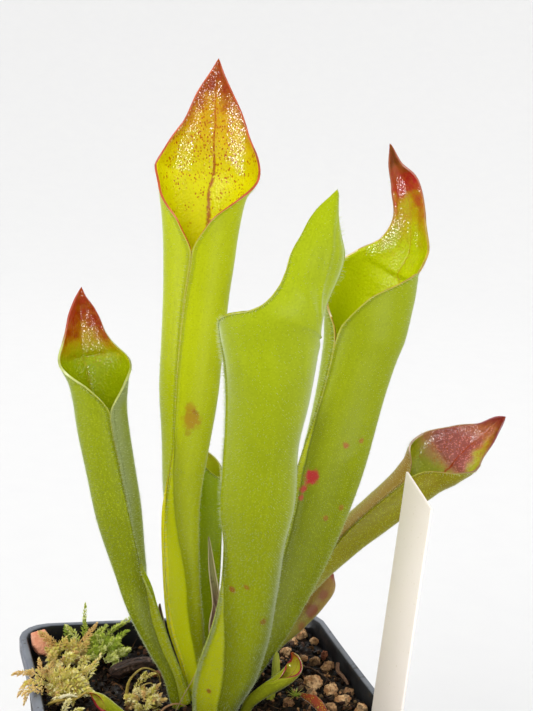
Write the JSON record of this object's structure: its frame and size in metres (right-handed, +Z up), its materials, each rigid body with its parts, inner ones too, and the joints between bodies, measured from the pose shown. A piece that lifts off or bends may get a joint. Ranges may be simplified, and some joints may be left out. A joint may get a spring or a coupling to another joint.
{
  "type": "potted sun pitcher plant",
  "caption": "Sun pitcher plant with rolled trumpet leaves and pointed hoods, in a square nursery pot of soil with moss, grit and a blank label stake.",
  "frame": {"origin": "middle of the pot's underside, the face that it stands on", "axes": "+Z up, the pot's sides along X and Y, the side seen in the picture towards -Y"},
  "size_m": [0.1206, 0.092, 0.213],
  "materials": {
    "pitcher_leaf": "waxy, velvety outside and glossy inside the mouth",
    "young_leaf": "waxy",
    "red_leaf": "waxy",
    "dry_leaf": "dry and matte",
    "rhizome": "rough",
    "pot": "satin grey",
    "soil": "damp and crumbly",
    "stone": "rough",
    "moss_tan": "dry and fibrous",
    "moss_green": "soft and leafy",
    "bark": "rough",
    "terracotta": "matte",
    "label": "satin"
  },
  "bodies": {
    "root": {"pitcher_tall": "pitcher_leaf", "pitcher_left": "pitcher_leaf", "pitcher_front": "pitcher_leaf", "pitcher_right": "pitcher_leaf", "pitcher_low_right": "pitcher_leaf", "pitcher_back": "pitcher_leaf", "juvenile_back": "young_leaf", "juvenile_front": "young_leaf", "juvenile_left": "young_leaf", "bud": "young_leaf", "red_leaf": "red_leaf", "dry_leaf_tall": "dry_leaf", "dry_leaf_short": "dry_leaf", "dry_leaf_left": "dry_leaf", "pot": "pot", "rhizome": "rhizome", "stone_01": "stone", "stone_02": "stone", "stone_03": "stone", "stone_04": "stone", "stone_05": "stone", "stone_06": "stone", "stone_07": "stone", "stone_08": "stone", "stone_09": "stone", "stone_10": "stone", "stone_11": "stone", "stone_12": "stone", "stone_13": "stone", "stone_14": "stone", "stone_15": "stone", "stone_16": "stone", "stone_17": "stone", "plant_label": "label", "soil": "soil", "moss_tan": "moss_tan", "moss_by_crown": "moss_tan", "moss_green": "moss_green", "bark": "bark", "twig": "bark", "terracotta_chip": "terracotta"}
  },
  "joints": []
}
